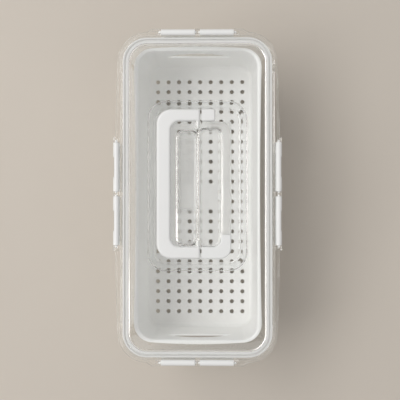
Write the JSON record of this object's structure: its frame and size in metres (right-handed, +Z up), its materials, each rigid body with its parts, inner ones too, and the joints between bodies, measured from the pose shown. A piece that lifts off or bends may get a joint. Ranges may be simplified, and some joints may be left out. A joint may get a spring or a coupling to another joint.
{
  "type": "fridge organizer box",
  "caption": "Clear long storage box with rounded corners, a white perforated drain basket inside, and a clear sealing lid with latch flaps all round and a folding carry handle in a recess.",
  "frame": {"origin": "on the surface that the box stands on, under the middle of its outline", "axes": "+X across the box to the right of the folded grip, +Y along the box toward the handle end, +Z up through the lid"},
  "size_m": [0.1714, 0.3396, 0.13],
  "materials": {
    "clear_plastic": "clear",
    "white_plastic": "satin white",
    "latch_plastic": "glossy white",
    "milky_plastic": "milky translucent white",
    "silicone": "translucent white"
  },
  "bodies": {
    "box": {"body": "clear_plastic", "basket": "white_plastic", "sealing_ring": "silicone", "lid": "clear_plastic", "handle_cap_back": "white_plastic", "handle_cap_front": "milky_plastic"},
    "handle": {"carry_handle": "white_plastic"},
    "latch_left_back": {"latch_left_back": "latch_plastic"},
    "latch_left_front": {"latch_left_front": "latch_plastic"},
    "latch_right_back": {"latch_right_back": "latch_plastic"},
    "latch_right_front": {"latch_right_front": "latch_plastic"},
    "latch_back_left": {"latch_back_left": "latch_plastic"},
    "latch_back_right": {"latch_back_right": "latch_plastic"},
    "latch_front_left": {"latch_front_left": "latch_plastic"},
    "latch_front_right": {"latch_front_right": "latch_plastic"}
  },
  "joints": [
    {"name": "handle_hinge", "type": "hinge", "parent": "box", "child": "handle", "pos_m": [0.0004, 0.0134, 0.1277], "axis": [0, 1, 0], "range_deg": [0, 100]},
    {"name": "latch_left_back_hinge", "type": "hinge", "parent": "box", "child": "latch_left_back", "pos_m": [-0.0816, 0.0304, 0.1269], "axis": [0, 1, 0], "range_deg": [0, 120]},
    {"name": "latch_left_front_hinge", "type": "hinge", "parent": "box", "child": "latch_left_front", "pos_m": [-0.0816, -0.0236, 0.1269], "axis": [0, 1, 0], "range_deg": [0, 120]},
    {"name": "latch_right_back_hinge", "type": "hinge", "parent": "box", "child": "latch_right_back", "pos_m": [0.0816, 0.0304, 0.1269], "axis": [0, -1, 0], "range_deg": [0, 120]},
    {"name": "latch_right_front_hinge", "type": "hinge", "parent": "box", "child": "latch_right_front", "pos_m": [0.0816, -0.0236, 0.1269], "axis": [0, -1, 0], "range_deg": [0, 120]},
    {"name": "latch_back_left_hinge", "type": "hinge", "parent": "box", "child": "latch_back_left", "pos_m": [-0.0195, 0.1657, 0.1269], "axis": [1, 0, 0], "range_deg": [0, 120]},
    {"name": "latch_back_right_hinge", "type": "hinge", "parent": "box", "child": "latch_back_right", "pos_m": [0.0195, 0.1657, 0.1269], "axis": [1, 0, 0], "range_deg": [0, 120]},
    {"name": "latch_front_left_hinge", "type": "hinge", "parent": "box", "child": "latch_front_left", "pos_m": [-0.0195, -0.1657, 0.1269], "axis": [-1, 0, 0], "range_deg": [0, 120]},
    {"name": "latch_front_right_hinge", "type": "hinge", "parent": "box", "child": "latch_front_right", "pos_m": [0.0195, -0.1657, 0.1269], "axis": [-1, 0, 0], "range_deg": [0, 120]}
  ]
}
